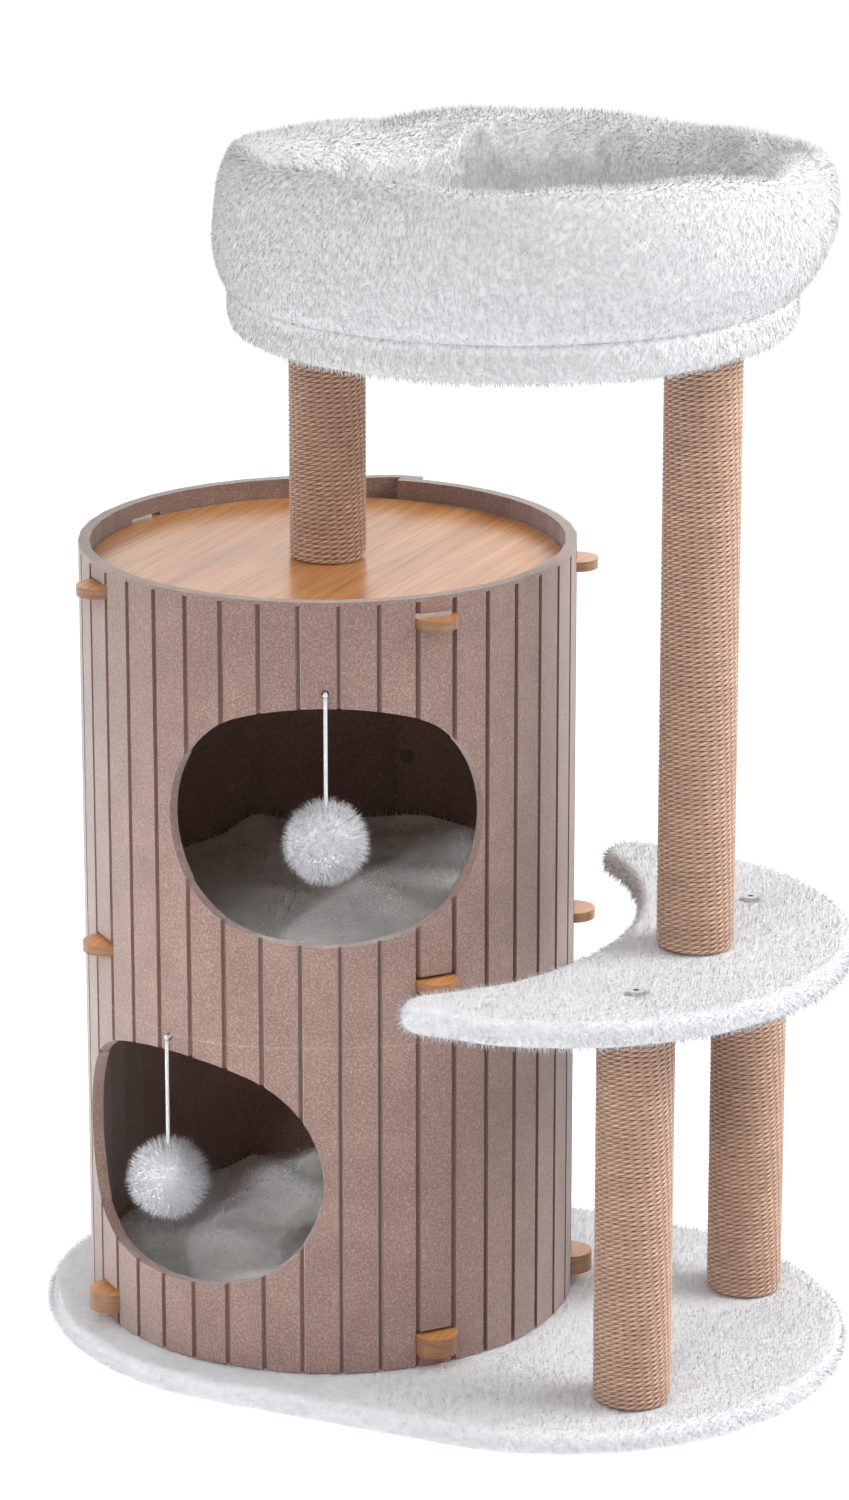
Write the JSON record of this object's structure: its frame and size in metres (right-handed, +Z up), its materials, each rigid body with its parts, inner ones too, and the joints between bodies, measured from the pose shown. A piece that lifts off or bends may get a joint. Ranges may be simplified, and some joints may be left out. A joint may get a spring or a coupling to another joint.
{
  "type": "cat tree",
  "caption": "Cat tree with a round grooved-felt den of stacked rooms, a crescent plush step on jute posts, a round plush bed on top and hanging pompom toys.",
  "frame": {"origin": "centre of the footprint, on the floor plane", "axes": "+X along the base from the felt den to the jute posts, +Y to the back, +Z up; the doorways face -Y"},
  "size_m": [0.671, 0.484, 0.99],
  "materials": {
    "board": "raw particle board",
    "oak": "oak veneer, satin varnish, bare layered edge",
    "plush": "short white plush pile",
    "mat": "long white plush pile",
    "felt": "stiff pressed felt, mottled taupe",
    "jute": "twisted jute rope wound close",
    "tube": "wound kraft paper tube",
    "plug": "turned softwood",
    "steel": "zinc plated",
    "rivet": "matt plastic",
    "foam": "pressed foam sheet",
    "cord": "braided elastic cord",
    "pompom": "trimmed acrylic yarn"
  },
  "bodies": {
    "tree": {"base_board": "board", "base_plush": "plush", "den_spacers": "plug", "den_bolts": "steel", "bottom_board": "oak", "bottom_mat": "mat", "middle_board": "oak", "middle_mat": "mat", "top_board": "oak", "felt_wall": "felt", "lap_rivets": "rivet", "den_post_tube": "tube", "den_post_jute": "jute", "front_post_tube": "tube", "front_post_jute": "jute", "back_post_tube": "tube", "back_post_jute": "jute", "tall_post_tube": "tube", "tall_post_jute": "jute", "post_plugs": "plug", "base_bolts": "steel", "step_board": "board", "step_plush": "plush", "step_bolts": "steel", "tall_post_bolt": "steel", "den_post_bolt": "steel", "bolt_washers": "steel", "bed_board": "board", "bed_foam": "foam", "bed_cover": "plush", "bed_bolts": "steel", "bed_bolster": "plush", "bed_cushion": "plush"},
    "lower_toy_eye": {"lower_toy_knot": "cord"},
    "lower_toy": {"lower_toy_cord": "cord", "lower_toy_pompom": "pompom"},
    "upper_toy_eye": {"upper_toy_knot": "cord"},
    "upper_toy": {"upper_toy_cord": "cord", "upper_toy_pompom": "pompom"}
  },
  "joints": [
    {"name": "lower_toy_sway", "type": "hinge", "parent": "tree", "child": "lower_toy_eye", "pos_m": [-0.15411, -0.19673, 0.291], "axis": [-0.2538, -0.9673, 0], "range_deg": [-45, 45]},
    {"name": "lower_toy_swing", "type": "hinge", "parent": "lower_toy_eye", "child": "lower_toy", "pos_m": [-0.15411, -0.19673, 0.291], "axis": [-0.9673, 0.2538, 0], "range_deg": [-5, 70]},
    {"name": "upper_toy_sway", "type": "hinge", "parent": "tree", "child": "upper_toy_eye", "pos_m": [-0.0188, -0.18536, 0.587], "axis": [0.4115, -0.9114, 0], "range_deg": [-45, 45]},
    {"name": "upper_toy_swing", "type": "hinge", "parent": "upper_toy_eye", "child": "upper_toy", "pos_m": [-0.0188, -0.18536, 0.587], "axis": [-0.9114, -0.4115, 0], "range_deg": [-5, 70]}
  ]
}
